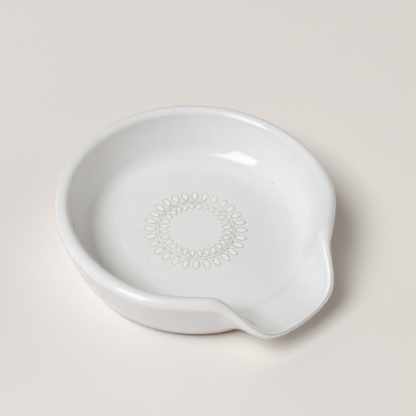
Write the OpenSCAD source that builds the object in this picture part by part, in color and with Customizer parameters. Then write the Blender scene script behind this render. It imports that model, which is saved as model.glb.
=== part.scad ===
// Round wheel-thrown stoneware dish for resting a cooking spoon.
// One wide low lip is drawn out of the rim on the front side (-Y).
// Origin: middle of the foot, on the table. +Z is up. Lengths in millimetres.

/* [Dish] */
// Radius of the middle line of the rounded rim, all round the dish
rim_radius = 57.5; // [40:0.5:90]
// Height of that middle line over the floor of the dish
dish_depth = 17.6; // [10:0.2:30]
// Thickness of the rounded rim
rim_thickness = 5.4; // [4:0.1:9]
// Lean of the wall under the rim, 90 is upright
rim_lean = 78; // [65:1:88]
// Thickness of the floor, glaze included
floor_thickness = 6.4; // [4:0.1:9]
// Radius of the flat floor as a share of the rim radius
floor_share = 0.79; // [0.65:0.01:0.85]

/* [Foot] */
// Radius at the table as a share of the rim radius
foot_share = 0.89; // [0.8:0.01:0.95]
// Width of the ring that stands on the table
foot_ring_width = 8; // [4:0.5:14]
// Depth of the turned recess inside that ring
recess_depth = 3; // [1:0.1:5]
// Lean of the outer wall where it leaves the foot
foot_lean = 58; // [45:1:75]
// Height of the bare clay line at the bottom of the wall
bare_height = 1.3; // [0.6:0.1:3]

/* [Lip] */
// How far the lip reaches out past the rim's middle line
lip_reach = 8.6; // [4:0.2:14]
// Height of the middle of the lip's edge over the floor of the dish
lip_rise = 2.6; // [1.5:0.1:8]
// Thickness of the edge of the lip
lip_thickness = 3; // [2.2:0.1:5]
// Rise of the lip towards its edge, zero is level
lip_lean = 12; // [4:1:30]
// Half angle over which the lip keeps its full reach
lip_half_angle = 14; // [6:1:20]
// Further angle over which the edge runs back in to the rim
lip_turn_angle = 18; // [12:1:26]
// Half angle of the level middle of the lip's edge
level_half_angle = 6; // [2:1:14]
// Further angle over which the edge climbs back up to the rim
climb_angle = 30; // [20:1:40]
// Depth of the finger pinch at each side of the lip
pinch_depth = 1.8; // [0:0.1:3]
// Angle of the pinch's middle from the middle of the lip
pinch_angle = 39; // [32:1:48]
// Half angle over which the pinch fades out
pinch_spread = 25; // [12:1:30]

/* [Glaze] */
// Thickness of the fired glaze
glaze_thickness = 0.45; // [0.3:0.05:0.8]
// Thickness of the glaze on the sides of the stamped relief
side_glaze = 0.25; // [0.15:0.05:0.35]

/* [Ornament] */
// Radius of the plain circle between the two rows of petals
circle_radius = 16.6; // [12:0.1:22]
// Width of that plain circle
circle_width = 0.9; // [0.6:0.1:1.6]
// Number of petals in each row
petal_count = 28; // [12:1:32]
// Length of one outer petal
petal_length = 5; // [3:0.1:8]
// Width of one outer petal
petal_width = 2.8; // [1.6:0.1:3.4]
// Inner petals as a share of the outer ones
inner_petal_share = 0.74; // [0.6:0.01:0.9]
// Gap from the circle to the root of each petal
petal_gap = 0.5; // [0.3:0.1:1.5]
// Height of the petals over the floor
petal_rise = 0.5; // [0.3:0.05:0.9]

/* [Fineness] */
// Divisions round the dish
divisions = 96; // [48:4:108]
// Rings up the outer wall
outer_rings = 7; // [4:1:9]
// Rings over the rounded rim
rim_rings = 8; // [6:1:10]
// Rings down the inner wall
inner_rings = 9; // [6:1:11]
// How much the divisions crowd together at the lip, in degrees
crowding = 24; // [0:1:35]
// Overrun of every cut past the face it opens
overrun = 1; // [0.5:0.1:3]

/* [Hidden] */
clay_color = [0.72, 0.56, 0.42];
glaze_color = [0.93, 0.93, 0.92];
full_turn = 360;
half_turn = full_turn / 2;
quarter_turn = full_turn / 4;
floor_height = recess_depth + floor_thickness;
rim_height = floor_height + dish_depth;
lip_drop = dish_depth - lip_rise;
foot_radius = rim_radius * foot_share;
floor_radius = rim_radius * floor_share;
recess_radius = foot_radius - foot_ring_width;
// Shares of a section's own span that pull its curves straight
outer_foot_pull_share = 0.3;
outer_edge_pull_share = 0.4;
inner_floor_pull_share = 0.32;
inner_edge_pull_share = 0.42;

// Eased step, one at and inside the first angle, zero at and past the second
function clamped(share) = max(0, min(1, share));
function eased_fall(angle, from, to) =
    (1 + cos(half_turn * clamped((abs(angle) - from) / (to - from)))) / 2;

// Edge of the dish at an angle from the middle of the lip
function reach_share(angle) = eased_fall(angle, lip_half_angle, lip_half_angle + lip_turn_angle);
function drop_share(angle) = eased_fall(angle, level_half_angle, level_half_angle + climb_angle);
function pinch_share(angle) = eased_fall(abs(angle) - pinch_angle, 0, pinch_spread);
function edge_radius(angle) =
    rim_radius + lip_reach * reach_share(angle) - pinch_depth * pinch_share(angle);
function edge_height(angle) = rim_height - lip_drop * drop_share(angle);
function edge_half(angle) =
    (rim_thickness - (rim_thickness - lip_thickness) * drop_share(angle)) / 2;
function edge_lean(angle) = rim_lean - (rim_lean - lip_lean) * drop_share(angle);
function edge_middle(angle) = [edge_radius(angle), edge_height(angle)];

// Plane vectors of one section, distance outwards first, height second
function toward(lean) = [cos(lean), sin(lean)];
function across(lean) = [sin(lean), -cos(lean)];
function bezier(a, b, c, d, share) =
    a * pow(1 - share, 3) + b * 3 * share * pow(1 - share, 2)
    + c * 3 * pow(share, 2) * (1 - share) + d * pow(share, 3);

// One section from the foot, up the outer wall, over the edge, down to the floor.
// skin is the depth under the glazed surface, zero for the surface itself.
function outer_start(skin) = [foot_radius - skin, bare_height];
function outer_end(angle, skin) =
    edge_middle(angle) + across(edge_lean(angle)) * (edge_half(angle) - skin);
function inner_start(angle, skin) =
    edge_middle(angle) - across(edge_lean(angle)) * (edge_half(angle) - skin);
function inner_end(skin) = [floor_radius, floor_height - skin];
function outer_wall(angle, skin) =
    let (a = outer_start(skin), d = outer_end(angle, skin), span = norm(d - a),
         b = a + toward(foot_lean) * span * outer_foot_pull_share,
         c = d - toward(edge_lean(angle)) * span * outer_edge_pull_share)
    [for (i = [0 : outer_rings - 1]) bezier(a, b, c, d, i / outer_rings)];
function rounded_edge(angle, skin) =
    [for (i = [0 : rim_rings - 1])
        let (turn = edge_lean(angle) - quarter_turn + half_turn * i / rim_rings)
        edge_middle(angle) + toward(turn) * (edge_half(angle) - skin)];
function inner_wall(angle, skin) =
    let (a = inner_start(angle, skin), d = inner_end(skin), span = norm(d - a),
         b = a - toward(edge_lean(angle)) * span * inner_edge_pull_share,
         c = d + [span * inner_floor_pull_share, 0])
    [for (i = [0 : inner_rings]) bezier(a, b, c, d, i / inner_rings)];
function section(angle, skin) =
    concat(outer_wall(angle, skin), rounded_edge(angle, skin), inner_wall(angle, skin));

// Angles of the divisions, crowded together at the lip, which points to -Y
function division_angle(i) =
    let (even = full_turn * i / divisions)
    even - crowding * sin(even);
function placed(point, angle) = [point[0] * sin(angle), -point[0] * cos(angle), point[1]];
function skin_points(skin) =
    let (sections = [for (i = [0 : divisions - 1]) section(wrapped(division_angle(i)), skin)])
    [for (ring = [0 : section_rings - 1]) for (i = [0 : divisions - 1])
        placed(sections[i][ring], division_angle(i))];
function wrapped(angle) = angle > half_turn ? angle - full_turn : angle;
section_rings = outer_rings + rim_rings + inner_rings + 1;

// Triangles between ring and ring, seen from outside in clockwise order
function following(i) = (i + 1) % divisions;
function band(lower, upper) =
    [for (i = [0 : divisions - 1]) for (half = [0, 1])
        half == 0
            ? [lower + i, upper + i, upper + following(i)]
            : [lower + i, upper + following(i), lower + following(i)]];
function cap(ring, tip) = [for (i = [0 : divisions - 1]) [ring + i, tip, ring + following(i)]];
function joined(lists) = [for (list = lists) each list];
function flipped(faces) = [for (face = faces) [face[2], face[1], face[0]]];
function skin_bands(start) =
    joined([for (ring = [0 : section_rings - 2])
        band(start + ring * divisions, start + (ring + 1) * divisions)]);

module clay_block() {
    surface = skin_points(glaze_thickness);
    foot = [for (i = [0 : divisions - 1])
        placed([foot_radius - glaze_thickness, 0], division_angle(i))];
    tip = [0, 0, floor_height - glaze_thickness];
    count = section_rings * divisions;
    last_ring = count - divisions;
    points = concat(surface, foot, [tip, [0, 0, 0]]);
    faces = concat(
        skin_bands(0),
        cap(last_ring, count + divisions),
        band(count, 0),
        flipped(cap(count, count + divisions + 1)));
    polyhedron(points, faces);
}

module glaze_shell() {
    count = section_rings * divisions;
    last_ring = count - divisions;
    points = concat(
        skin_points(0), [[0, 0, floor_height]],
        skin_points(glaze_thickness), [[0, 0, floor_height - glaze_thickness]]);
    under = count + 1;
    faces = concat(
        skin_bands(0),
        cap(last_ring, count),
        flipped(skin_bands(under)),
        flipped(cap(under + last_ring, under + count)),
        band(under, 0));
    polyhedron(points, faces);
}

// Pointed oval standing on the ground, tip and root on the Y axis
module petal(length, width, height) {
    bow = (length * length / width + width) / 4;
    intersection() {
        translate([bow - width / 2, 0, 0]) cylinder(h = height, r = bow);
        translate([width / 2 - bow, 0, 0]) cylinder(h = height, r = bow);
    }
}

// Two rows of petals with a plain circle between them, from one height up to another.
// less is how much narrower they stand than their glazed outline, all round.
module ornament(bottom, top, less) {
    height = top - bottom;
    inner_length = petal_length * inner_petal_share;
    inner_width = petal_width * inner_petal_share;
    root = circle_width / 2 + petal_gap;
    step = full_turn / petal_count;
    translate([0, 0, bottom]) {
        difference() {
            cylinder(h = height, r = circle_radius + circle_width / 2 - less);
            translate([0, 0, -overrun])
                cylinder(h = height + 2 * overrun, r = circle_radius - circle_width / 2 + less);
        }
        for (i = [0 : petal_count - 1]) {
            rotate([0, 0, step * i])
                translate([0, circle_radius + root + petal_length / 2, 0])
                    petal(petal_length - 2 * less, petal_width - 2 * less, height);
            rotate([0, 0, step * (i + 0.5)])
                translate([0, circle_radius - root - inner_length / 2, 0])
                    petal(inner_length - 2 * less, inner_width - 2 * less, height);
        }
    }
}

// The same relief in the clay, under a glaze that is thinner on its sides
module stamped_relief() {
    clay_floor = floor_height - glaze_thickness;
    ornament(clay_floor - glaze_thickness, clay_floor + petal_rise, side_glaze);
}

module stoneware_body() {
    color(clay_color)
    difference() {
        union() {
            clay_block();
            stamped_relief();
        }
        translate([0, 0, -overrun])
            cylinder(h = recess_depth + overrun, r = recess_radius);
    }
}

module glaze_coat() {
    color(glaze_color)
    difference() {
        union() {
            glaze_shell();
            ornament(floor_height - glaze_thickness / 2, floor_height + petal_rise, 0);
        }
        stamped_relief();
    }
}

stoneware_body();
glaze_coat();
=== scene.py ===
"""A wheel-thrown stoneware spoon rest under a white glaze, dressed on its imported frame.

Lengths are in metres and angles in degrees, unless a name says otherwise. An angle round the
dish is zero at the middle of the lip, which points to -Y, and grows towards +X. A section holds
the distance from the wheel axis and the height at each angle.
"""

import logging
import math
from collections.abc import Sequence
from dataclasses import dataclass, fields
from enum import Enum
from functools import cached_property

import bpy
import numpy as np
from bpy.types import Material, Node, NodeSocket, NodeTree, Object
from mathutils import Matrix, Vector


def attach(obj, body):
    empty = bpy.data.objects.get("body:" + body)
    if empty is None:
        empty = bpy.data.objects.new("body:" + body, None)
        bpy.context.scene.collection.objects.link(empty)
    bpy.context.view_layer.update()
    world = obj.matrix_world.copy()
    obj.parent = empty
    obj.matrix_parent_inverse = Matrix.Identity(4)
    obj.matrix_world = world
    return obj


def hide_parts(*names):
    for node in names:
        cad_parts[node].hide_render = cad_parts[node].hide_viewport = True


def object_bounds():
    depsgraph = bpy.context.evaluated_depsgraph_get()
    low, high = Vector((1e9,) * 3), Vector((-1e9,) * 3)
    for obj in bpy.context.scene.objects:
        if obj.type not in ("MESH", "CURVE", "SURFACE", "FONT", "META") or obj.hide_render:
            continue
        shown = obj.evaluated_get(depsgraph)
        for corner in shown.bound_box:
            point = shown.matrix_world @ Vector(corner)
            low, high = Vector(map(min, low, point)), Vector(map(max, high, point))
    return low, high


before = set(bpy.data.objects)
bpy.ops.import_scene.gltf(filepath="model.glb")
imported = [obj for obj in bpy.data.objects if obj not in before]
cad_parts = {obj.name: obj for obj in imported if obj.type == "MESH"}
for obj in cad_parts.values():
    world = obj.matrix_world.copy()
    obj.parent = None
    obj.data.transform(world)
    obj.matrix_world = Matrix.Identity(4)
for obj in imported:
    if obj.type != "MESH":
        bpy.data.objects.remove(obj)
cad_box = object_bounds()

log = logging.getLogger("spoon_rest")
Array = np.ndarray
Colour = tuple[float, float, float, float]
MM = 0.001
FULL_TURN = 360.0
HALF_TURN = 180.0
QUARTER_TURN = 90.0
PHOTO_WIDTH = 416
SENSOR_WIDTH = 36.0
LIP_CROWDING = 24.0
ROOT_BODY = "root"
BODY_NODE = "stoneware_body"
GLAZE_NODE = "glaze_coat"
GEOMETRY = "NodeSocketGeometry"
NUMBER = "NodeSocketFloat"


class Mark(Enum):
    """Names of the values that a mesh carries at its points for its relief and its finish."""

    GLAZED = "glazed"
    PLACE = "place"
    THIN = "thin"
    # Tan of thin glaze, and painted shade on the lip's outer face and along its seam.
    OUTLINE = "outline"
    # Painted shade: how deep the grooves of the ring marks are, for the grey painted into them.
    POOLED = "pooled"


LAID_MARKS = (Mark.GLAZED, Mark.PLACE, Mark.THIN)
Marks = dict[Mark, Array | float] | None
Inputs = dict[str | int, object] | None
Number = "Field | float"


def eased_fall(angle: Array, start: float, end: float) -> Array:
    """Eased step round the dish: one up to the start angle, zero from the end angle on."""
    share = np.clip((np.abs(angle) - start) / (end - start), 0.0, 1.0)
    return (1.0 + np.cos(math.pi * share)) / 2.0


def bell(value: float, middle: float, width: float) -> float:
    """Smooth bump that is one at its middle."""
    return math.exp(-(((value - middle) / width) ** 2))


def toward(lean: Array | float) -> Array:
    """Unit vectors in the plane of a section, outwards first, that rise by the given leans."""
    turn = np.radians(lean)
    return np.stack([np.cos(turn), np.sin(turn)], axis=-1)


def upright(radius: float, height: Array) -> Array:
    """Section at one distance from the axis and the given heights."""
    return np.stack([np.full_like(height, radius), height], axis=-1)


def curved(start: Array, start_pull: Array, end: Array, end_pull: Array, share: float) -> Array:
    """Section on a smooth wall between two others.

    Args:
        start: Section at which the wall starts.
        start_pull: Where the wall bends to from there, as a share of its length.
        end: Section at which the wall ends.
        end_pull: Where the wall comes from, seen from its end, as a share of its length.
        share: Place along the wall, from zero to one.

    Returns:
        The section.
    """
    span = np.linalg.norm(end - start, axis=-1, keepdims=True)
    rest = 1.0 - share
    return (
        start * rest**3
        + (start + start_pull * span) * 3.0 * share * rest**2
        + (end + end_pull * span) * 3.0 * share**2 * rest
        + end * share**3
    )


@dataclass(frozen=True)
class DishForm:
    """The thrown form, as one section from foot to floor that changes round the lip."""

    rim_radius: float = 57.5 * MM
    dish_depth: float = 17.6 * MM
    rim_thickness: float = 5.4 * MM
    rim_lean: float = 78.0
    floor_thickness: float = 6.4 * MM
    floor_share: float = 0.74
    foot_share: float = 0.89
    foot_ring_width: float = 8.0 * MM
    recess_depth: float = 3.0 * MM
    foot_lean: float = 58.0
    bare_height: float = 1.3 * MM
    lip_reach: float = 8.6 * MM
    lip_rise: float = 2.6 * MM
    lip_thickness: float = 3.0 * MM
    lip_lean: float = 12.0
    lip_half_angle: float = 14.0
    lip_turn_angle: float = 18.0
    level_half_angle: float = 6.0
    climb_angle: float = 30.0
    pinch_depth: float = 1.8 * MM
    pinch_angle: float = 39.0
    pinch_spread: float = 25.0
    rim_fullness: float = 1.0 * MM
    fold_fullness: float = 0.9 * MM
    outer_foot_pull: float = 0.3
    outer_edge_pull: float = 0.4
    inner_floor_pull: float = 0.32
    inner_edge_pull: float = 0.42

    @property
    def floor_height(self) -> float:
        """Height of the glazed floor over the table."""
        return self.recess_depth + self.floor_thickness

    @property
    def foot_radius(self) -> float:
        """Radius of the dish at the table."""
        return self.rim_radius * self.foot_share

    @property
    def floor_radius(self) -> float:
        """Radius of the flat floor."""
        return self.rim_radius * self.floor_share

    @property
    def recess_radius(self) -> float:
        """Radius of the recess turned into the foot."""
        return self.foot_radius - self.foot_ring_width


class Profile:
    """Sections of the dish at the angles of a ring."""

    def __init__(self, form: DishForm, angle: Array) -> None:
        """Works out the rounded edge: its drop to the lip, its middle, its half thickness and its lean.

        Args:
            form: The dish.
            angle: Angles of the ring.
        """
        drop = eased_fall(angle, form.level_half_angle, form.level_half_angle + form.climb_angle)
        reach = eased_fall(angle, form.lip_half_angle, form.lip_half_angle + form.lip_turn_angle)
        pinch = eased_fall(np.abs(angle) - form.pinch_angle, 0.0, form.pinch_spread)
        full = form.rim_fullness * (1.0 - drop**2) + form.fold_fullness * 4.0 * drop * (1.0 - drop)
        radius = form.rim_radius + form.lip_reach * reach - form.pinch_depth * pinch
        height = form.floor_height + form.dish_depth - (form.dish_depth - form.lip_rise) * drop
        self.form = form
        self.drop = drop
        self.middle = np.stack([radius, height], axis=-1) - full[:, None] / 2.0
        self.half = (form.rim_thickness - (form.rim_thickness - form.lip_thickness) * drop + full) / 2.0
        self.lean = form.rim_lean - (form.rim_lean - form.lip_lean) * drop

    def edge(self, turn_share: float, skin: Array | float) -> Array:
        """Section on the rounded edge, from zero at the outer wall to one at the inner wall."""
        turn = self.lean - QUARTER_TURN + HALF_TURN * turn_share
        return self.middle + toward(turn) * (self.half - skin)[:, None]

    def over(self, foot: Array, rings: Sequence[int], skin: float) -> list[Array]:
        """Sections from the foot over the rounded edge to the flat floor.

        Args:
            foot: Section at the foot of the outer wall.
            rings: Steps up the outer wall, round the edge and down the inner wall.
            skin: Depth under the glazed surface.

        Returns:
            The sections, in order.
        """
        form, lean = self.form, toward(self.lean)
        top, inside = self.edge(0.0, skin), self.edge(1.0, skin)
        floor = np.zeros_like(inside) + (form.floor_radius, form.floor_height - skin)
        climb = (foot, toward(form.foot_lean) * form.outer_foot_pull, top, lean * -form.outer_edge_pull)
        fall = (inside, lean * -form.inner_edge_pull, floor, np.array([form.inner_floor_pull, 0.0]))
        outer, edge, inner = rings
        return (
            [curved(*climb, i / outer) for i in range(outer)]
            + [self.edge(i / edge, skin) for i in range(edge)]
            + [curved(*fall, i / inner) for i in range(inner + 1)]
        )


class TurnedSkin:
    """A closed skin of rings round one axis, laid from a lower middle point to an upper one."""

    def __init__(self, count: int) -> None:
        """Starts with no rings.

        Args:
            count: Number of points in a ring.
        """
        self.points: list[Array] = []
        self.rings: list[tuple[int, int]] = []
        self.marks: dict[Mark, list[Array]] = {mark: [] for mark in LAID_MARKS}
        self.size = 0
        self.divide(count)

    def divide(self, count: int, crowding: float = LIP_CROWDING) -> None:
        """Divides the rings from here on.

        Args:
            count: Number of points in a ring.
            crowding: Angle by which the points are drawn towards the lip at most.
        """
        even = FULL_TURN * np.arange(count) / count
        angle = even - crowding * np.sin(np.radians(even))
        self.angle = np.where(angle > HALF_TURN, angle - FULL_TURN, angle)

    def add(self, points: Array, marks: Marks = None) -> None:
        """Adds one ring, or one middle point as a ring of one.

        Args:
            points: The ring's points, in order round the dish.
            marks: Values that these points carry, zero where none is given.
        """
        self.rings.append((self.size, len(points)))
        self.points.append(points)
        for mark, values in self.marks.items():
            values.append(np.zeros(len(points)) + (marks or {}).get(mark, 0.0))
        self.size += len(points)

    def add_section(self, section: Array, marks: Marks = None) -> None:
        """Adds the ring of one section."""
        turn, radius = np.radians(self.angle), section[:, 0]
        self.add(np.stack([radius * np.sin(turn), -radius * np.cos(turn), section[:, 1]], axis=-1), marks)

    def add_level(self, radius: float, height: float, marks: Marks = None) -> None:
        """Adds a round level ring."""
        self.add_section(upright(radius, np.full_like(self.angle, height)), marks)

    def add_middle(self, height: float, marks: Marks = None) -> None:
        """Adds the middle point at which the skin starts or closes."""
        self.add(np.array([[0.0, 0.0, height]]), marks)

    @staticmethod
    def band(lower: tuple[int, int], upper: tuple[int, int]) -> list[tuple[int, ...]]:
        """Faces between two rings. One may be a middle point, or divided twice as finely.

        Args:
            lower: First point and number of points of the lower ring.
            upper: The same of the upper ring.

        Returns:
            The faces, looking outwards.
        """
        (low, low_count), (high, high_count) = lower, upper
        if low_count > high_count:
            return [face[::-1] for face in TurnedSkin.band(upper, lower)]
        if low_count == 1:
            return [(low, high + (i + 1) % high_count, high + i) for i in range(high_count)]
        made: list[tuple[int, ...]] = []
        for i in range(low_count):
            here, after = low + i, low + (i + 1) % low_count
            near, middle, far = (high + (2 * i + step) % high_count for step in range(3))
            if low_count == high_count:
                made.append((here, after, high + (i + 1) % high_count, high + i))
            else:
                made += [(here, middle, near), (here, after, middle), (after, far, middle)]
        return made

    def to_object(self, name: str) -> Object:
        """Makes the skin a smooth mesh that carries its marks.

        Args:
            name: Name of the object.

        Returns:
            The object, linked to the scene.
        """
        faces = [face for lower, upper in zip(self.rings, self.rings[1:]) for face in self.band(lower, upper)]
        mesh = bpy.data.meshes.new(name)
        mesh.from_pydata(np.concatenate(self.points).tolist(), [], faces)
        mesh.shade_smooth()
        for mark, values in self.marks.items():
            layer = mesh.attributes.new(mark.value, "FLOAT", "POINT")
            layer.data.foreach_set("value", np.concatenate(values).astype(np.float32))
        mesh.validate()
        made = bpy.data.objects.new(name, mesh)
        bpy.context.scene.collection.objects.link(made)
        return made


class Canvas:
    """A node tree in the making."""

    def __init__(self, tree: NodeTree) -> None:
        """Keeps the tree."""
        self.tree = tree

    def feed(self, socket: NodeSocket, value: object) -> None:
        """Links a field or a socket to an input, or sets a plain value on it.

        Args:
            socket: The input.
            value: A field, a socket or a plain value.
        """
        source = value.socket if isinstance(value, Field) else value
        if isinstance(source, NodeSocket):
            self.tree.links.new(source, socket)
        else:
            socket.default_value = source

    def node(self, kind: str, inputs: Inputs = None, **settings: object) -> Node:
        """Places one node.

        Args:
            kind: The node's type.
            inputs: Value of each input, by name or number.
            settings: Further properties of the node.

        Returns:
            The node.
        """
        node = self.tree.nodes.new(kind)
        for name, value in settings.items():
            setattr(node, name, value)
        for name, value in (inputs or {}).items():
            self.feed(node.inputs[name], value)
        return node

    def field(self, kind: str, inputs: Inputs = None, output: str | int = 0, **settings: object) -> "Field":
        """Places one node and takes up one of its outputs, by name or number."""
        return Field(self, self.node(kind, inputs, **settings).outputs[output])

    def noise(
        self, place: object, scale: object, detail: float, roughness: float = 0.5, seed: object = None
    ) -> "Field":
        """Noise from zero to one.

        Args:
            place: Where it is taken.
            scale: Waves in one metre.
            detail: Number of finer noises added.
            roughness: Strength of the finer noises.
            seed: Value that tells it from other noise, if it has one.

        Returns:
            The noise.
        """
        inputs = {"Vector": place, "Scale": scale, "Detail": detail, "Roughness": roughness}
        if seed is None:
            return self.field("ShaderNodeTexNoise", inputs)
        return self.field("ShaderNodeTexNoise", inputs | {"W": seed}, noise_dimensions="4D")

    def mixed(self, share: object, plain: object, other: object) -> NodeSocket:
        """Colour between two others, plain where the share is zero."""
        inputs = {0: share, 6: plain, 7: other}
        return self.node("ShaderNodeMix", inputs, data_type="RGBA").outputs[2]

    def carried(self, mark: Mark) -> "Field":
        """One of the values that the mesh carries.

        Args:
            mark: Which one.

        Returns:
            The value.
        """
        if self.tree.bl_idname == "ShaderNodeTree":
            return self.field("ShaderNodeAttribute", output="Fac", attribute_name=mark.value)
        named = {"Name": mark.value}
        return self.field("GeometryNodeInputNamedAttribute", named, "Attribute", data_type="FLOAT")


class Field:
    """A number that changes over a surface. It comes out of a node and is reckoned with as a number."""

    def __init__(self, canvas: Canvas, socket: NodeSocket) -> None:
        """Keeps the canvas and the socket that the number comes out of."""
        self.canvas = canvas
        self.socket = socket

    def math(self, operation: str, *others: Number) -> "Field":
        """Joins this number and others in one math node."""
        operands = dict(enumerate((self, *others)))
        return self.canvas.field("ShaderNodeMath", operands, operation=operation)

    def __add__(self, other: Number) -> "Field":
        """Sum."""
        return self.math("ADD", other)

    def __sub__(self, other: Number) -> "Field":
        """Difference."""
        return self.math("SUBTRACT", other)

    def __mul__(self, other: Number) -> "Field":
        """Product."""
        return self.math("MULTIPLY", other)

    def __truediv__(self, other: Number) -> "Field":
        """Quotient."""
        return self.math("DIVIDE", other)

    def size(self) -> "Field":
        """The number without its sign."""
        return self.math("ABSOLUTE")

    def least(self, other: Number) -> "Field":
        """The lower of two numbers."""
        return self.math("MINIMUM", other)

    def most(self, other: Number) -> "Field":
        """The higher of two numbers."""
        return self.math("MAXIMUM", other)

    def span_with(self, other: "Field") -> "Field":
        """Length of the diagonal of two sides."""
        return (self * self + other * other).math("SQRT")

    def stepped(self, start: Number, end: Number) -> "Field":
        """Eased step that is zero at the start value and one at the higher end value."""
        inputs = {"Value": self, "From Min": start, "From Max": end}
        return self.canvas.field("ShaderNodeMapRange", inputs, "Result", interpolation_type="SMOOTHSTEP")

    def faded(self, start: Number, end: Number) -> "Field":
        """Eased step that is one at the start value and zero at the higher end value."""
        return (self.stepped(start, end) - 1.0).size()

    def hill(self, middle: Number, half_width: Number) -> "Field":
        """Rounded hill, one at its middle and zero a half width to either side."""
        return ((self - middle).size() / half_width).faded(0.0, 1.0)


class Ground(Canvas):
    """A node group in the making, with its inputs and the place on the dish at hand."""

    def __init__(self, name: str, kind: str, inputs: dict[str, str], outputs: dict[str, str]) -> None:
        """Starts the group.

        Args:
            name: Name of the group.
            kind: Its type.
            inputs: Type of each input, by name.
            outputs: Type of each output, by name.
        """
        super().__init__(bpy.data.node_groups.new(name, kind))
        self.identifiers = {}
        for title, socket_type in outputs.items():
            self.tree.interface.new_socket(title, in_out="OUTPUT", socket_type=socket_type)
        for title, socket_type in inputs.items():
            socket = self.tree.interface.new_socket(title, in_out="INPUT", socket_type=socket_type)
            self.identifiers[title] = socket.identifier
        self.given = self.node("NodeGroupInput").outputs
        self.numbers = {name: Field(self, self.given[name]) for name in inputs if inputs[name] == NUMBER}

    @cached_property
    def place(self) -> NodeSocket:
        """Place of each point."""
        if "Place" in self.given:
            return self.given["Place"]
        return self.node("GeometryNodeInputPosition").outputs[0]

    @cached_property
    def sides(self) -> tuple[Field, Field]:
        """X and Y of each point."""
        parts = self.node("ShaderNodeSeparateXYZ", {"Vector": self.place}).outputs
        return Field(self, parts["X"]), Field(self, parts["Y"])

    @cached_property
    def radius(self) -> Field:
        """Distance of each point from the wheel axis."""
        across, along = self.sides
        return across.span_with(along)

    @cached_property
    def turn(self) -> Field:
        """Direction of each point from the wheel axis, in radians."""
        across, along = self.sides
        return along.math("ARCTAN2", across)

    def round_noise(self, steps: Field, drift: Field, **noise: object) -> Field:
        """Noise drawn out round the wheel axis.

        Args:
            steps: Place along the section, in steps of the noise.
            drift: Change on the way round, in steps of the noise.
            noise: Further arguments of the noise.

        Returns:
            The noise.
        """
        share = drift / self.radius.most(MM)
        parts = {"X": steps, "Y": self.sides[0] * share, "Z": self.sides[1] * share}
        return self.noise(self.node("ShaderNodeCombineXYZ", parts).outputs[0], 1.0, **noise)


class Relief:
    """Relief of a mesh, from a geometry tree with one named input for each of its plain numbers."""

    tree_name: str

    def draw(self, ground: Ground) -> tuple[Field, dict[Mark, Field]]:
        """Draws the relief, as its height and the values that it leaves on the mesh."""
        raise NotImplementedError

    def numbers(self) -> dict[str, float]:
        """Each plain number of the relief, by the name of its input."""
        plain = [field.name for field in fields(self) if field.type in (int, float)]
        return {name.replace("_", " ").title(): float(getattr(self, name)) for name in plain}

    def press_into(self, piece: Object, finish: Material) -> None:
        """Raises the relief on a piece, gives it its finish and keeps the result as its plain mesh.

        Args:
            piece: The piece.
            finish: Its material.
        """
        numbers = self.numbers()
        inputs = {"Geometry": GEOMETRY, **dict.fromkeys(numbers, NUMBER), "Finish": "NodeSocketMaterial"}
        ground = Ground(self.tree_name, "GeometryNodeTree", inputs, {"Geometry": GEOMETRY})
        self.lay_nodes(ground)
        modifier = piece.modifiers.new(self.tree_name, "NODES")
        modifier.node_group = ground.tree
        for name, value in {**numbers, "Finish": finish}.items():
            modifier[ground.identifiers[name]] = value
        graph = bpy.context.evaluated_depsgraph_get()
        shaped = piece.evaluated_get(graph)
        mesh = bpy.data.meshes.new_from_object(shaped, preserve_all_data_layers=True, depsgraph=graph)
        piece.modifiers.clear()
        base = piece.data
        piece.data = mesh
        mesh.name = piece.name
        bpy.data.meshes.remove(base)

    def lay_nodes(self, ground: Ground) -> None:
        """Lays the tree's nodes over its inputs.

        Args:
            ground: The tree.
        """
        height, left = self.draw(ground)
        normal = ground.node("GeometryNodeInputNormal").outputs[0]
        push = ground.node("ShaderNodeVectorMath", {"Vector": normal, "Scale": height}, operation="SCALE")
        steps = [("SetPosition", {"Offset": push.outputs[0]}, {})]
        settings = {"data_type": "FLOAT", "domain": "POINT"}
        for mark, value in left.items():
            steps.append(("StoreNamedAttribute", {"Name": mark.value, "Value": value}, settings))
        steps += [("RealizeInstances", {}, {}), ("SetMaterial", {"Material": ground.given["Finish"]}, {})]
        shape = ground.given["Geometry"]
        for kind, inputs, settings in steps:
            shape = ground.node(f"GeometryNode{kind}", {"Geometry": shape, **inputs}, **settings).outputs[0]
        ground.node("NodeGroupOutput", {"Geometry": shape})


class PetalRow(Enum):
    """The two rows of petals: the side of the circle they stand on, and their shift in steps."""

    OUTER = (1.0, 0.5)
    INNER = (-1.0, 0.0)


@dataclass(frozen=True)
class RingMark:
    """A shallow ridge or groove left in the floor by a tool or a finger."""

    radius: float
    half_width: float
    height: float
    middle_angle: float
    half_span: float


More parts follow.
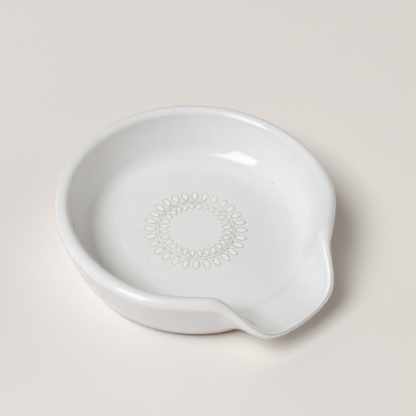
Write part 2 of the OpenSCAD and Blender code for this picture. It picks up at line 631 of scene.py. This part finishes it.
@dataclass(frozen=True)
class FloorRelief(Relief):
    """What lies on the floor: the stamped rows of petals round a circle, and the throwing rings."""

    tree_name = "floor_relief"
    petals_in_a_row: int = 28
    circle_radius: float = 16.6 * MM
    circle_width: float = 0.9 * MM
    petal_length: float = 5.0 * MM
    petal_width: float = 2.8 * MM
    inner_petal_share: float = 0.74
    petal_gap: float = 0.5 * MM
    petal_rise: float = 0.2 * MM
    shoulder_width: float = 0.5 * MM
    groove_depth: float = 0.11 * MM
    groove_half_width: float = 0.34 * MM
    groove_shift: float = 0.3
    ring_spacing: float = 1.6 * MM
    ring_height: float = 0.2 * MM
    ring_drift: float = 0.9
    ring_middle: float = 37.0 * MM
    ring_reach: float = 17.0 * MM
    ring_swell: float = 0.85
    ring_least: float = 0.15
    seed: float = 7.0
    # Groove depth at which the painted shade in the ring marks is full.
    pool_depth: float = 0.15 * MM
    ring_marks: tuple[RingMark, ...] = (
        RingMark(33.8 * MM, 0.8 * MM, -0.06 * MM, 120.0, 60.0),
        RingMark(48.8 * MM, 1.8 * MM, -0.14 * MM, -6.0, 42.0),
        RingMark(27.4 * MM, 0.9 * MM, 0.02 * MM, 60.0, 100.0),
    )

    def draw(self, ground: Ground) -> tuple[Field, dict[Mark, Field]]:
        """Draws the relief.

        Args:
            ground: Its numbers and the place on the dish.

        Returns:
            Its height, and how far it is to the ornament's outline and how much painted shade the grooves of
            the ring marks get.
        """
        size, radius = ground.numbers, ground.radius
        outline = (radius - size["Circle Radius"]).size() - size["Circle Width"] * 0.5
        for row in PetalRow:
            outline = outline.least(self.petal_outline(ground, row))
        rise = ((outline * -1.0) / size["Shoulder Width"]).stepped(0.0, 1.0) * size["Petal Rise"]
        half = size["Groove Half Width"]
        groove = outline.hill(half * size["Groove Shift"], half) * size["Groove Depth"]
        marked = radius * 0.0
        for mark in self.ring_marks:
            marked = marked + self.shown(ground, mark) * mark.height
        rings = self.throwing_rings(ground) + marked
        height = (rise - groove + rings) * ground.carried(Mark.GLAZED)
        # Painted shade: the grooves of the ring marks are painted grey, the more the deeper they are.
        pooled = (marked / size["Pool Depth"] * -1.0).most(0.0)
        return height, {Mark.OUTLINE: outline / MM, Mark.POOLED: pooled}

    @staticmethod
    def petal_outline(ground: Ground, row: PetalRow) -> Field:
        """Distance from the nearest pointed oval of a row of petals.

        Args:
            ground: The relief's numbers and the place on the dish.
            row: Which of the two rows.

        Returns:
            The distance, below zero inside a petal.
        """
        size = ground.numbers
        side, shift = row.value
        length, width = size["Petal Length"], size["Petal Width"]
        if row is PetalRow.INNER:
            length, width = length * size["Inner Petal Share"], width * size["Inner Petal Share"]
        root = size["Circle Width"] * 0.5 + size["Petal Gap"]
        centre = size["Circle Radius"] + (root + length * 0.5) * side
        steps = ground.turn * size["Petals In A Row"] / math.tau + shift
        off = (steps - steps.math("FLOOR") - 0.5) * math.tau / size["Petals In A Row"]
        sideways = (ground.radius * off.math("SINE")).size()
        lengthways = ground.radius * off.math("COSINE") - centre
        bow = (length * length / width + width) * 0.25
        return (sideways + bow - width * 0.5).span_with(lengthways) - bow

    @staticmethod
    def throwing_rings(ground: Ground) -> Field:
        """Rings that the thrower's fingers left.

        Args:
            ground: The relief's numbers and the place on the dish.

        Returns:
            Their height.
        """
        size, place = ground.numbers, ground.carried(Mark.PLACE)
        steps, finer = place / size["Ring Spacing"], {"detail": 2.0, "roughness": 0.45}
        noise = ground.round_noise(steps, size["Ring Drift"], seed=size["Seed"], **finer)
        swell = place.hill(size["Ring Middle"], size["Ring Reach"]) * size["Ring Swell"]
        return (noise - 1.0) * 2.0 * size["Ring Height"] * (swell + size["Ring Least"])

    @staticmethod
    def shown(ground: Ground, mark: RingMark) -> Field:
        """Share of a ring mark at each place, one along its middle line.

        Args:
            ground: The place on the dish.
            mark: The ring mark.

        Returns:
            The share, from zero to one.
        """
        middle = math.radians(mark.middle_angle - QUARTER_TURN)
        across, along = ground.sides
        forwards = across * math.cos(middle) + along * math.sin(middle)
        end, full = (math.cos(math.radians(mark.half_span / part)) for part in (1.0, 2.0))
        span = (forwards / ground.radius.most(MM)).stepped(end, full)
        return ground.radius.hill(mark.radius, mark.half_width) * span


@dataclass(frozen=True)
class TurningMarks(Relief):
    """The uneven spiral that the turning tool cut into the recess."""

    tree_name = "turning_marks"
    groove_spacing: float = 3.1 * MM
    groove_depth: float = 0.12 * MM
    groove_share: float = 0.5
    noise_share: float = 1.2
    sink: float = 1.1
    noise_scale: float = 90.0
    seed: float = 3.0

    def draw(self, ground: Ground) -> tuple[Field, dict[Mark, Field]]:
        """Draws the spiral.

        Args:
            ground: Its numbers and the place on the dish.

        Returns:
            Its height. It leaves no values on the mesh.
        """
        size = ground.numbers
        steps = ground.radius / size["Groove Spacing"] + ground.turn / math.tau
        noise = ground.noise(ground.place, size["Noise Scale"], detail=2.0, seed=size["Seed"])
        wave = (steps * math.tau).math("COSINE") * size["Groove Share"] + noise * size["Noise Share"]
        return (wave - size["Sink"]) * size["Groove Depth"] * ground.carried(Mark.GLAZED), {}


class Finish:
    """A material in the making: its canvas, its shader and the place on the dish."""

    def __init__(self, name: str) -> None:
        """Starts the material.

        Args:
            name: Its name.
        """
        self.made = bpy.data.materials.new(name)
        self.made.use_nodes = True
        self.canvas = Canvas(self.made.node_tree)
        self.shader = self.made.node_tree.nodes["Principled BSDF"]
        self.place = self.canvas.node("ShaderNodeTexCoord").outputs["Object"]

    def dress(self, name: str, value: object) -> None:
        """Feeds one input of the shader."""
        self.canvas.feed(self.shader.inputs[name], value)

    def use(self, group: NodeTree, **inputs: object) -> Field:
        """Places a shared shader group, with the value of each input but the place by name."""
        named = {name.replace("_", " ").title(): value for name, value in inputs.items()}
        return self.canvas.field("ShaderNodeGroup", {"Place": self.place, **named}, node_tree=group)

    def roughen(self, height: Field, depth: float, strength: float) -> None:
        """Gives the surface its finest relief."""
        inputs = {"Height": height, "Distance": depth, "Strength": strength}
        self.dress("Normal", self.canvas.node("ShaderNodeBump", inputs).outputs[0])


class SurfaceEffects:
    """Shader groups that the bare clay and the glaze share, each built once."""

    smallest_speck: float = 0.5
    speck_core: float = 0.4
    finer_scale: float = 4.0

    def __init__(self) -> None:
        """Builds the groups."""
        self.specks = self.build_specks()
        self.grain = self.build_grain()
        self.streaks = self.build_streaks()

    @staticmethod
    def start(name: str, numbers: Sequence[str], output: str) -> Ground:
        """Starts a shader group that turns a place and the named numbers into one number."""
        inputs = {"Place": "NodeSocketVector", **dict.fromkeys(numbers, NUMBER)}
        return Ground(name, "ShaderNodeTree", inputs, {output: NUMBER})

    def build_specks(self) -> NodeTree:
        """Builds the group of scattered iron specks.

        Returns:
            The group. It sets a speck in a share of the cells of a loose lattice.
        """
        ground = self.start("iron_specks", ("Cell Size", "Speck Radius", "Share"), "Mask")
        cell, radius, share = ground.numbers.values()
        lattice = {"Vector": ground.place, "Scale": cell.math("POWER", -1.0)}
        cells = ground.node("ShaderNodeTexVoronoi", lattice, feature="F1", voronoi_dimensions="3D").outputs
        chance = ground.node("ShaderNodeSeparateColor", {"Color": cells["Color"]}).outputs
        size = radius * (Field(ground, chance["Green"]) + self.smallest_speck)
        spot = (Field(ground, cells["Distance"]) * cell).faded(size * self.speck_core, size)
        chosen = Field(ground, chance["Red"]).math("LESS_THAN", share)
        ground.node("NodeGroupOutput", {"Mask": spot * chosen})
        return ground.tree

    def build_grain(self) -> NodeTree:
        """Builds the group of fine grain.

        Returns:
            The group. It mixes coarse and fine noise, from minus one to one.
        """
        ground = self.start("fired_grain", ("Grain Size", "Fine Share"), "Height")
        grain_size, share = ground.numbers.values()
        scale = grain_size.math("POWER", -1.0)
        coarse = (ground.noise(ground.place, scale, detail=2.0) - 0.5) * 2.0
        fine = (ground.noise(ground.place, scale * self.finer_scale, detail=3.0) - 0.5) * 2.0
        ground.node("NodeGroupOutput", {"Height": coarse + (fine - coarse) * share})
        return ground.tree

    def build_streaks(self) -> NodeTree:
        """Builds the group of fine streaks.

        Returns:
            The group. Its streaks run round the axis, from minus one to one.
        """
        ground = self.start("thrown_streaks", ("Reach", "Spacing", "Drift"), "Height")
        reach, spacing, drift = ground.numbers.values()
        noise = ground.round_noise(reach / spacing, drift, detail=3.0, roughness=0.6)
        ground.node("NodeGroupOutput", {"Height": (noise - 0.5) * 2.0})
        return ground.tree


@dataclass(frozen=True)
class Speck:
    """One iron speck in the glaze, where it lies on the dish."""

    place_mm: tuple[float, float, float]
    radius_mm: float
    strength: float
    core_share: float = 0.35

    def spot(self, material: Finish) -> Field:
        """The speck as a share of the surface's colour.

        Args:
            material: The glaze.

        Returns:
            The share, from zero to the speck's strength.
        """
        parts = {0: material.place, 1: [part * MM for part in self.place_mm]}
        distance = material.canvas.field("ShaderNodeVectorMath", parts, "Value", operation="DISTANCE")
        radius = self.radius_mm * MM
        return distance.faded(radius * self.core_share, radius) * self.strength


@dataclass(frozen=True)
class WhiteGlaze:
    """Glossy white glaze, tan where it runs thin, with a few iron specks, and with painted shade: grey in the
    grooves of the ring marks, tan on the lip's outer face, and tan mixed with thin glaze along the lip's
    seam.
    """

    white: Colour = (0.856, 0.857, 0.857, 1.0)
    warm_white: Colour = (0.895, 0.887, 0.868, 1.0)
    cool_white: Colour = (0.825, 0.83, 0.838, 1.0)
    # Tan of thin glaze, also painted as shade on the lip's outer face and along its seam.
    thin_tan: Colour = (0.50, 0.44, 0.33, 1.0)
    # Grey of the painted shade in the grooves of the ring marks.
    pooled_grey: Colour = (0.70, 0.70, 0.70, 1.0)
    iron: Colour = (0.16, 0.12, 0.09, 1.0)
    roughness: float = 0.02
    roughness_change: float = 0.02
    cloud_size: float = 26.0 * MM
    cloud_start: float = 0.35
    cloud_end: float = 0.68
    mottle_of_cloud: float = 0.3
    mottle_of_grain: float = 0.7
    mottle_of_streaks: float = 1.1
    mottle_even: float = 0.3
    grain_size: float = 2.6 * MM
    fine_share: float = 0.25
    grain_depth: float = 0.006 * MM
    streak_spacing: float = 1.5 * MM
    streak_drift: float = 3.0
    pooled_share: float = 0.25
    petal_edge_mm: float = -0.35
    line_half_width_mm: float = 0.27
    line_middle_mm: float = 0.06
    line_strength: float = 0.95
    line_cloud_end: float = 0.65
    line_of_cloud: float = 0.5
    line_of_grain: float = 0.6
    line_even: float = 0.55
    thin_of_grain: float = 0.5
    tan_even: float = 0.8
    speck_cell: float = 9.0 * MM
    speck_radius: float = 0.16 * MM
    speck_share: float = 0.3
    speck_strength: float = 0.45
    specks: tuple[Speck, ...] = (
        Speck((-34.8, 37.4, 16.8), 0.5, 0.5),
        Speck((-45.2, 9.4, 10.3), 0.45, 0.6),
        Speck((26.3, 48.9, 29.2), 0.4, 0.6),
        Speck((9.6, 45.8, 10.7), 0.35, 0.35),
        Speck((45.6, 0.0, 9.9), 0.4, 0.55),
        Speck((-28.3, -2.4, 9.4), 0.5, 0.3),
        Speck((-20.7, 14.5, 9.4), 0.4, 0.2),
        Speck((-25.0, -15.2, 9.4), 0.45, 0.2),
        Speck((-4.7, -47.3, 9.5), 0.45, 0.2),
    )

    def build(self, effects: SurfaceEffects) -> Material:
        """Builds the material.

        Args:
            effects: The shared shader groups.

        Returns:
            The material.
        """
        material = Finish("white_glaze")
        canvas = material.canvas
        cloud = canvas.noise(material.place, 1.0 / self.cloud_size, detail=2.0)
        grain = material.use(effects.grain, grain_size=self.grain_size, fine_share=self.fine_share)
        streaks = material.use(
            effects.streaks,
            reach=canvas.carried(Mark.PLACE),
            spacing=self.streak_spacing,
            drift=self.streak_drift,
        )
        mottle = cloud.stepped(self.cloud_start, self.cloud_end) * self.mottle_of_cloud
        mottle = mottle + grain * self.mottle_of_grain + streaks * self.mottle_of_streaks
        mottle = (mottle + self.mottle_even).most(0.0).least(1.0)
        colour = canvas.mixed(mottle, self.white, self.cool_white)
        # Painted shade: grey in the grooves of the ring marks.
        colour = canvas.mixed(canvas.carried(Mark.POOLED) * self.pooled_share, colour, self.pooled_grey)
        outline, glazed = canvas.carried(Mark.OUTLINE), canvas.carried(Mark.GLAZED)
        colour = canvas.mixed(outline.faded(self.petal_edge_mm, 0.0) * glazed, colour, self.warm_white)
        uneven = cloud.stepped(self.cloud_start, self.line_cloud_end) * self.line_of_cloud
        uneven = uneven + grain * self.line_of_grain + self.line_even
        line = outline.hill(self.line_middle_mm, self.line_half_width_mm) * self.line_strength
        patchy = grain * self.thin_of_grain + self.tan_even
        # Tan where the glaze runs thin, and painted shade on the lip's outer face and along its seam.
        thin = (canvas.carried(Mark.THIN) * patchy).most(line * uneven * glazed)
        colour = canvas.mixed(thin, colour, self.thin_tan)
        specks = material.use(
            effects.specks,
            cell_size=self.speck_cell,
            speck_radius=self.speck_radius,
            share=self.speck_share,
        )
        specks = specks * self.speck_strength
        for speck in self.specks:
            specks = specks.most(speck.spot(material))
        material.dress("Base Color", canvas.mixed(specks, colour, self.iron))
        material.dress("Roughness", cloud * self.roughness_change + self.roughness)
        material.roughen(grain + streaks, self.grain_depth, 1.0)
        return material.made


@dataclass(frozen=True)
class BareStoneware:
    """Fired bare clay of the foot, matt and gritty, paler in patches of its grain."""

    clay: Colour = (0.25, 0.145, 0.085, 1.0)
    pale_clay: Colour = (0.37, 0.25, 0.16, 1.0)
    grit: Colour = (0.13, 0.08, 0.05, 1.0)
    pale_start: float = -0.5
    pale_end: float = 0.6
    roughness: float = 0.88
    roughness_change: float = 0.06
    grain_size: float = 1.1 * MM
    fine_share: float = 0.6
    grain_depth: float = 0.09 * MM
    grain_strength: float = 0.8
    grit_cell: float = 1.9 * MM
    grit_radius: float = 0.17 * MM
    grit_share: float = 0.35
    grit_strength: float = 0.8

    def build(self, effects: SurfaceEffects) -> Material:
        """Builds the material.

        Args:
            effects: The shared shader groups.

        Returns:
            The material.
        """
        material = Finish("bare_stoneware")
        canvas = material.canvas
        grain = material.use(effects.grain, grain_size=self.grain_size, fine_share=self.fine_share)
        grit = material.use(
            effects.specks,
            cell_size=self.grit_cell,
            speck_radius=self.grit_radius,
            share=self.grit_share,
        )
        colour = canvas.mixed(grain.stepped(self.pale_start, self.pale_end), self.clay, self.pale_clay)
        material.dress("Base Color", canvas.mixed(grit * self.grit_strength, colour, self.grit))
        material.dress("Roughness", grain * self.roughness_change + self.roughness)
        material.roughen(grain, self.grain_depth, self.grain_strength)
        return material.made


@dataclass(frozen=True)
class GlazeLine:
    """The wavering line over the foot at which the glaze ends, highest beside the lip."""

    low_height: float = 0.26 * MM
    high_height: float = 2.47 * MM
    middle_angle: float = -22.0
    half_angle: float = 75.0
    waver: float = 0.12 * MM
    waves: int = 3
    wave_shift: float = 0.6
    fine_waves: int = 7
    fine_wave_shift: float = 2.0
    low_waver_share: float = 0.25
    fine_waver_share: float = 0.6
    lowest: float = 0.235 * MM

    def climb(self, angle: Array) -> Array:
        """Share of the way from the low part of the line to the high part."""
        return eased_fall(angle - self.middle_angle, 0.0, self.half_angle)

    def height(self, angle: Array) -> Array:
        """Height of the line over the table.

        Args:
            angle: Angles round the dish.

        Returns:
            The height at each.
        """
        turn, climb = np.radians(angle), self.climb(angle)
        fine = self.fine_waver_share * np.sin(self.fine_waves * turn + self.fine_wave_shift)
        wave = np.sin(self.waves * turn + self.wave_shift) + fine
        share = self.low_waver_share + (1.0 - self.low_waver_share) * climb
        line = self.low_height + (self.high_height - self.low_height) * climb
        return np.maximum(line + self.waver * wave / (1.0 + self.fine_waver_share) * share, self.lowest)


@dataclass(frozen=True)
class ThinGlazeAndShadeBand:
    """A band of the rounded edge that is tinted tan: thin glaze on the rim's shoulder, painted shade on the
    lip's outer face, and both along the lip's seam.
    """

    turn: float
    width: float
    strength: float
    lip_power: int

    def bell(self, turn: float) -> float:
        """How near a turn round the edge is to the band's middle."""
        return bell(turn, self.turn, self.width)


@dataclass(frozen=True)
class GlazeCoat:
    """The fired glaze: a thin closed skin over the inside, the edge and the outer wall."""

    form: DishForm
    line: GlazeLine
    relief: FloorRelief
    thickness: float = 0.45 * MM
    allowance: float = 0.05 * MM
    foot_swell: float = 0.16 * MM
    foot_swell_share: float = 0.07
    foot_thin: float = 0.2
    foot_thin_rings: float = 1.5
    bead_thin: float = 0.35
    seam_depth: float = 0.22 * MM
    # The seam is a real groove, tinted tan partly as thin glaze and partly as painted shade of the lip's
    # edge.
    seam: ThinGlazeAndShadeBand = ThinGlazeAndShadeBand(0.61, 0.04, 1.25, 1)
    # Painted shade: the lip's outer face, which turns away from the main light, is tinted tan.
    face: ThinGlazeAndShadeBand = ThinGlazeAndShadeBand(0.42, 0.2, 0.06, 2)
    shoulder: ThinGlazeAndShadeBand = ThinGlazeAndShadeBand(0.97, 0.08, 0.1, 0)
    points_for_a_petal: int = 20
    fine_radius: float = 24.0 * MM
    bare_centre_radius: float = 10.6 * MM
    fine_ring: float = 0.22 * MM
    floor_ring: float = 0.55 * MM
    outer_rings: int = 28
    edge_rings: int = 40
    inner_rings: int = 36
    under_rings: int = 9
    bead_rings: int = 6

    @property
    def plain_count(self) -> int:
        """Divisions of a ring outside the ornament."""
        return self.relief.petals_in_a_row * self.points_for_a_petal // 2

    def build(self, finish: Material) -> Object:
        """Builds the glaze coat.

        Args:
            finish: Its material.

        Returns:
            The piece, with its relief and its finish.
        """
        skin = TurnedSkin(self.plain_count)
        self.add_under_side(skin)
        foot = self.add_bead(skin)
        self.add_upper_side(skin, foot)
        self.add_floor(skin)
        piece = skin.to_object("glazed_skin")
        self.relief.press_into(piece, finish)
        return piece

    def add_under_side(self, skin: TurnedSkin) -> None:
        """Lays the side that is fused to the clay, from the middle of the floor to the foot.

        Args:
            skin: The skin to add to.
        """
        form, count = self.form, self.under_rings
        height = form.floor_height - self.thickness
        skin.add_middle(height)
        for i in range(1, count):
            skin.add_level(form.floor_radius * i / count, height)
        foot = upright(form.foot_radius - self.thickness, self.line.height(skin.angle))
        profile = Profile(form, skin.angle)
        for section in profile.over(foot, (count, count, count), self.thickness)[:0:-1]:
            skin.add_section(section)

    def add_bead(self, skin: TurnedSkin) -> Array:
        """Rounds the glaze off where it ends over the foot.

        Args:
            skin: The skin to add to.

        Returns:
            Section at the foot of the glazed outer wall.
        """
        half = self.thickness / 2.0
        middle = upright(self.form.foot_radius - half, self.line.height(skin.angle))
        thin = self.bead_thin * self.line.climb(skin.angle)
        for i in range(1, self.bead_rings):
            lean = HALF_TURN + HALF_TURN * i / self.bead_rings
            skin.add_section(middle + toward(lean) * half, {Mark.THIN: thin})
        return middle + (half, 0.0)

    def add_upper_side(self, skin: TurnedSkin, foot: Array) -> None:
        """Lays the glazed outer wall, edge and inner wall.

        Args:
            skin: The skin to add to.
            foot: Section at the foot of the outer wall.
        """
        profile, climb = Profile(self.form, skin.angle), self.line.climb(skin.angle)
        rings = profile.over(foot, (self.outer_rings, self.edge_rings, self.inner_rings), self.allowance)
        for i in range(self.outer_rings):
            swell = self.foot_swell * bell(i / self.outer_rings, 0.0, self.foot_swell_share)
            rings[i] = rings[i] + (swell, 0.0)
        for i in range(self.edge_rings):
            turn = i / self.edge_rings
            seam = self.seam_depth * self.seam.bell(turn) * profile.drop**2
            rings[self.outer_rings + i] = profile.edge(turn, self.allowance + seam)
        steps = np.linalg.norm(np.diff(np.stack(rings[::-1]), axis=0), axis=-1)
        outwards = np.concatenate([np.zeros((1, len(climb))), np.cumsum(steps, axis=0)])[::-1]
        for i, ring in enumerate(rings):
            thin = self.foot_thin * max(0.0, 1.0 - i / self.foot_thin_rings) * climb
            # Tan bands: thin glaze on the rim's shoulder, painted shade on the lip's outer face, both along
            # the seam.
            for band in (self.shoulder, self.seam, self.face):
                near = band.bell((i - self.outer_rings) / self.edge_rings)
                thin = thin + band.strength * near * profile.drop**band.lip_power
            place = self.form.floor_radius + outwards[i]
            marks = {Mark.GLAZED: 1.0, Mark.PLACE: place, Mark.THIN: np.minimum(thin, 1.0)}
            skin.add_section(ring, marks)

    def add_floor(self, skin: TurnedSkin) -> None:
        """Lays the flat floor, fine where the ornament stands, and closes it at the middle.

        Args:
            skin: The skin to add to.
        """
        height = self.form.floor_height - self.allowance
        zones = (
            (self.form.floor_radius, self.fine_radius, self.floor_ring, 1, LIP_CROWDING),
            (self.fine_radius, self.bare_centre_radius, self.fine_ring, 2, 0.0),
            (self.bare_centre_radius, 0.0, 2.0 * self.floor_ring, 1, 0.0),
        )
        for start, end, step, fineness, crowding in zones:
            count = round((start - end) / step)
            last = count if end > 0.0 else count - 1
            for i in range(1, last + 1):
                radius = start + (end - start) * i / count
                skin.divide(self.plain_count * fineness, crowding * (1.0 - i / count))
                skin.add_level(radius, height, {Mark.GLAZED: 1.0, Mark.PLACE: radius})
        skin.add_middle(height, {Mark.GLAZED: 1.0})


@dataclass(frozen=True)
class StonewareBody:
    """The clay under the glaze, with its turned foot."""

    form: DishForm
    line: GlazeLine
    turning: TurningMarks
    ring_points: int = 280
    cover: float = 0.47 * MM
    foot_round: float = 0.7 * MM
    foot_chamfer: float = 0.8 * MM
    round_rings: int = 6
    recess_rings: int = 56
    recess_fade_rings: float = 4.0
    foot_rings: int = 8
    hidden_rings: int = 8

    def build(self, finish: Material) -> Object:
        """Builds the clay body.

        Args:
            finish: Its material.

        Returns:
            The piece, with its turning marks and its finish.
        """
        skin = TurnedSkin(self.ring_points)
        self.add_recess(skin)
        self.add_foot(skin)
        self.add_hidden_side(skin)
        piece = skin.to_object("turned_body")
        self.turning.press_into(piece, finish)
        return piece

    def add_recess(self, skin: TurnedSkin) -> None:
        """Lays the recess under the dish, from its middle to its rounded edge.

        Args:
            skin: The skin to add to.
        """
        height, edge = self.form.recess_depth, self.form.recess_radius - self.foot_round
        skin.add_middle(height, {Mark.GLAZED: 1.0})
        for i in range(1, self.recess_rings):
            turned = min(1.0, (self.recess_rings - i) / self.recess_fade_rings)
            skin.add_level(edge * i / self.recess_rings, height, {Mark.GLAZED: turned})

    def add_foot(self, skin: TurnedSkin) -> None:
        """Lays the edge of the recess and the ring that stands on the table, each edge rounded.

        Args:
            skin: The skin to add to.
        """
        small, wide = self.foot_round, self.foot_chamfer
        inner, outer = self.form.recess_radius, self.form.foot_radius - self.cover
        turn = np.linspace(0.0, QUARTER_TURN, self.round_rings + 1)
        flat = np.linspace(inner + small, outer - wide, self.foot_rings + 1)[1:-1]
        rings = (
            (inner - small, self.form.recess_depth - small) + toward(QUARTER_TURN - turn) * small,
            (inner + small, small) + toward(HALF_TURN + turn) * small,
            np.stack([flat, np.zeros_like(flat)], axis=-1),
            (outer - wide, wide) + toward(HALF_TURN + QUARTER_TURN + turn) * wide,
        )
        for radius, height in np.concatenate(rings):
            skin.add_level(radius, height)

    def add_hidden_side(self, skin: TurnedSkin) -> None:
        """Lays the side under the glaze, over the edge to the middle of the floor.

        Args:
            skin: The skin to add to.
        """
        form, count = self.form, self.hidden_rings
        height = form.floor_height - self.cover
        top = np.maximum(self.line.height(skin.angle), form.bare_height)
        foot = upright(form.foot_radius - self.cover, top)
        for section in Profile(form, skin.angle).over(foot, (count, count, count), self.cover):
            skin.add_section(section)
        for i in range(1, count):
            skin.add_level(form.floor_radius * (1.0 - i / count), height)
        skin.add_middle(height)


class Reach(Enum):
    """What a light does: it lights surfaces, or it is seen in glossy ones."""

    LIGHTS = "lights"
    SHINES = "shines"


@dataclass(frozen=True)
class Softbox:
    """A soft light as the dish sees it: its direction, its spread across and up, and its brightness."""

    name: str
    azimuth: float
    elevation: float
    across: float
    upwards: float
    radiance: float
    colour: tuple[float, float, float] = (1.0, 1.0, 1.0)
    reach: Reach = Reach.LIGHTS
    distance: float = 4.5

    def length_of(self, spread: float) -> float:
        """Length that fills an angle at the light's distance."""
        return 2.0 * self.distance * math.tan(math.radians(spread) / 2.0)

    def build(self, centre: Vector) -> None:
        """Builds the light, turned to the dish.

        Args:
            centre: The point that it faces.
        """
        data = bpy.data.lights.new(self.name, "AREA")
        data.shape = "RECTANGLE"
        data.size, data.size_y = self.length_of(self.across), self.length_of(self.upwards)
        data.energy = self.radiance * self.length_of(self.across) * self.length_of(self.upwards) * math.pi
        data.color = self.colour
        turn, rise = math.radians(self.azimuth), math.radians(self.elevation)
        back = Vector((math.cos(turn) * math.cos(rise), math.sin(turn) * math.cos(rise), math.sin(rise)))
        light = bpy.data.objects.new(self.name, data)
        light.location = centre + back * self.distance
        light.rotation_mode = "QUATERNION"
        light.rotation_quaternion = back.to_track_quat("Z", "Y")
        light.visible_diffuse = self.reach is Reach.LIGHTS
        light.visible_glossy = self.reach is Reach.SHINES
        bpy.context.scene.collection.objects.link(light)


@dataclass(frozen=True)
class Studio:
    """A pale table top under soft studio light."""

    table_reach: float = 2.4
    table_colour: Colour = (0.862, 0.82, 0.787, 1.0)
    table_cloud: float = 0.99
    cloud_scale: float = 9.0
    table_roughness: float = 0.9
    table_gloss: float = 0.2
    sky_colour: Colour = (1.0, 0.95, 0.88, 1.0)
    sky_strength: float = 0.03
    softboxes: tuple[Softbox, ...] = (
        Softbox("window_light", 175.0, 54.0, 28.0, 28.0, 10.5, (0.98, 1.0, 1.02)),
        Softbox("window_glow", 184.5, 46.0, 24.0, 50.0, 4.2, reach=Reach.SHINES),
        Softbox("left_fill", 107.0, 36.0, 36.0, 36.0, 0.85, (1.02, 1.0, 0.97)),
        Softbox("front_fill", 259.0, 16.0, 70.0, 30.0, 0.75, (1.1, 1.0, 0.95)),
        Softbox("right_fill", 330.0, 26.0, 44.0, 20.0, 2.1, (1.06, 1.0, 0.86)),
        Softbox("back_fill", 57.0, 45.0, 26.0, 30.0, 0.65, (1.15, 1.0, 0.78)),
    )

    def build(self, centre: Vector) -> None:
        """Builds the table, the lights and the sky.

        Args:
            centre: The point that the lights face.
        """
        self.build_table()
        for softbox in self.softboxes:
            softbox.build(centre)
        world = bpy.data.worlds.new("studio_air")
        world.use_nodes = True
        sky = world.node_tree.nodes["Background"]
        sky.inputs["Color"].default_value = self.sky_colour
        sky.inputs["Strength"].default_value = self.sky_strength
        bpy.context.scene.world = world
        bpy.context.scene.view_settings.view_transform = "Standard"

    def build_table(self) -> None:
        """Builds the plain table top."""
        reach = self.table_reach
        mesh = bpy.data.meshes.new("table_top")
        corners = [(-reach, -reach, 0.0), (reach, -reach, 0.0), (reach, reach, 0.0), (-reach, reach, 0.0)]
        mesh.from_pydata(corners, [], [(0, 1, 2, 3)])
        material = Finish("pale_table")
        cloud = material.canvas.noise(material.place, self.cloud_scale, detail=1.0)
        dim = tuple(channel * self.table_cloud for channel in self.table_colour[:3]) + (1.0,)
        material.dress("Base Color", material.canvas.mixed(cloud, self.table_colour, dim))
        material.dress("Roughness", self.table_roughness)
        material.dress("Specular IOR Level", self.table_gloss)
        mesh.materials.append(material.made)
        table = bpy.data.objects.new("table_top", mesh)
        bpy.context.scene.collection.objects.link(table)


@dataclass(frozen=True)
class PhotoCamera:
    """The camera, where the photograph was taken from."""

    place_mm: tuple[float, float, float] = (-215.7, -238.0, 366.1)
    heading: float = -43.0
    pitch: float = 46.86
    roll: float = 4.2
    focal_pixels: float = 1099.2

    def build(self) -> None:
        """Builds the camera and makes it the scene's own."""
        data = bpy.data.cameras.new("photo_camera")
        data.sensor_width = SENSOR_WIDTH
        data.lens = SENSOR_WIDTH * self.focal_pixels / PHOTO_WIDTH
        camera = bpy.data.objects.new("photo_camera", data)
        pose = Matrix.Translation([part * MM for part in self.place_mm])
        turns = ((self.heading, "Z"), (QUARTER_TURN - self.pitch, "X"), (self.roll, "Z"))
        for turn, axis in turns:
            pose = pose @ Matrix.Rotation(math.radians(turn), 4, axis)
        camera.matrix_world = pose
        bpy.context.scene.collection.objects.link(camera)
        bpy.context.scene.camera = camera


class SpoonRest:
    """The whole object: the turned clay body and the glaze coat fused to it."""

    def __init__(self) -> None:
        """Sets out the form and the end of the glaze, which both pieces share."""
        form, line = DishForm(), GlazeLine()
        self.body = StonewareBody(form, line, TurningMarks())
        self.glaze = GlazeCoat(form, line, FloorRelief())

    def build(self) -> None:
        """Builds and dresses both pieces, and seats them on the frame."""
        effects = SurfaceEffects()
        body = self.body.build(BareStoneware().build(effects))
        glaze = self.glaze.build(WhiteGlaze().build(effects))
        for piece, node, slot in ((body, BODY_NODE, "bare_stoneware"), (glaze, GLAZE_NODE, "white_glaze")):
            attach(piece, ROOT_BODY)
            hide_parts(node)
            log.info("%s: %d faces, stands for %s", piece.name, len(piece.data.polygons), node)


def main() -> None:
    """Builds the camera, the object and the studio, in that order."""
    logging.basicConfig(level=logging.INFO, format="%(name)s: %(message)s")
    PhotoCamera().build()
    SpoonRest().build()
    lowest, highest = cad_box
    Studio().build((lowest + highest) / 2.0)


if __name__ == "__main__":
    main()
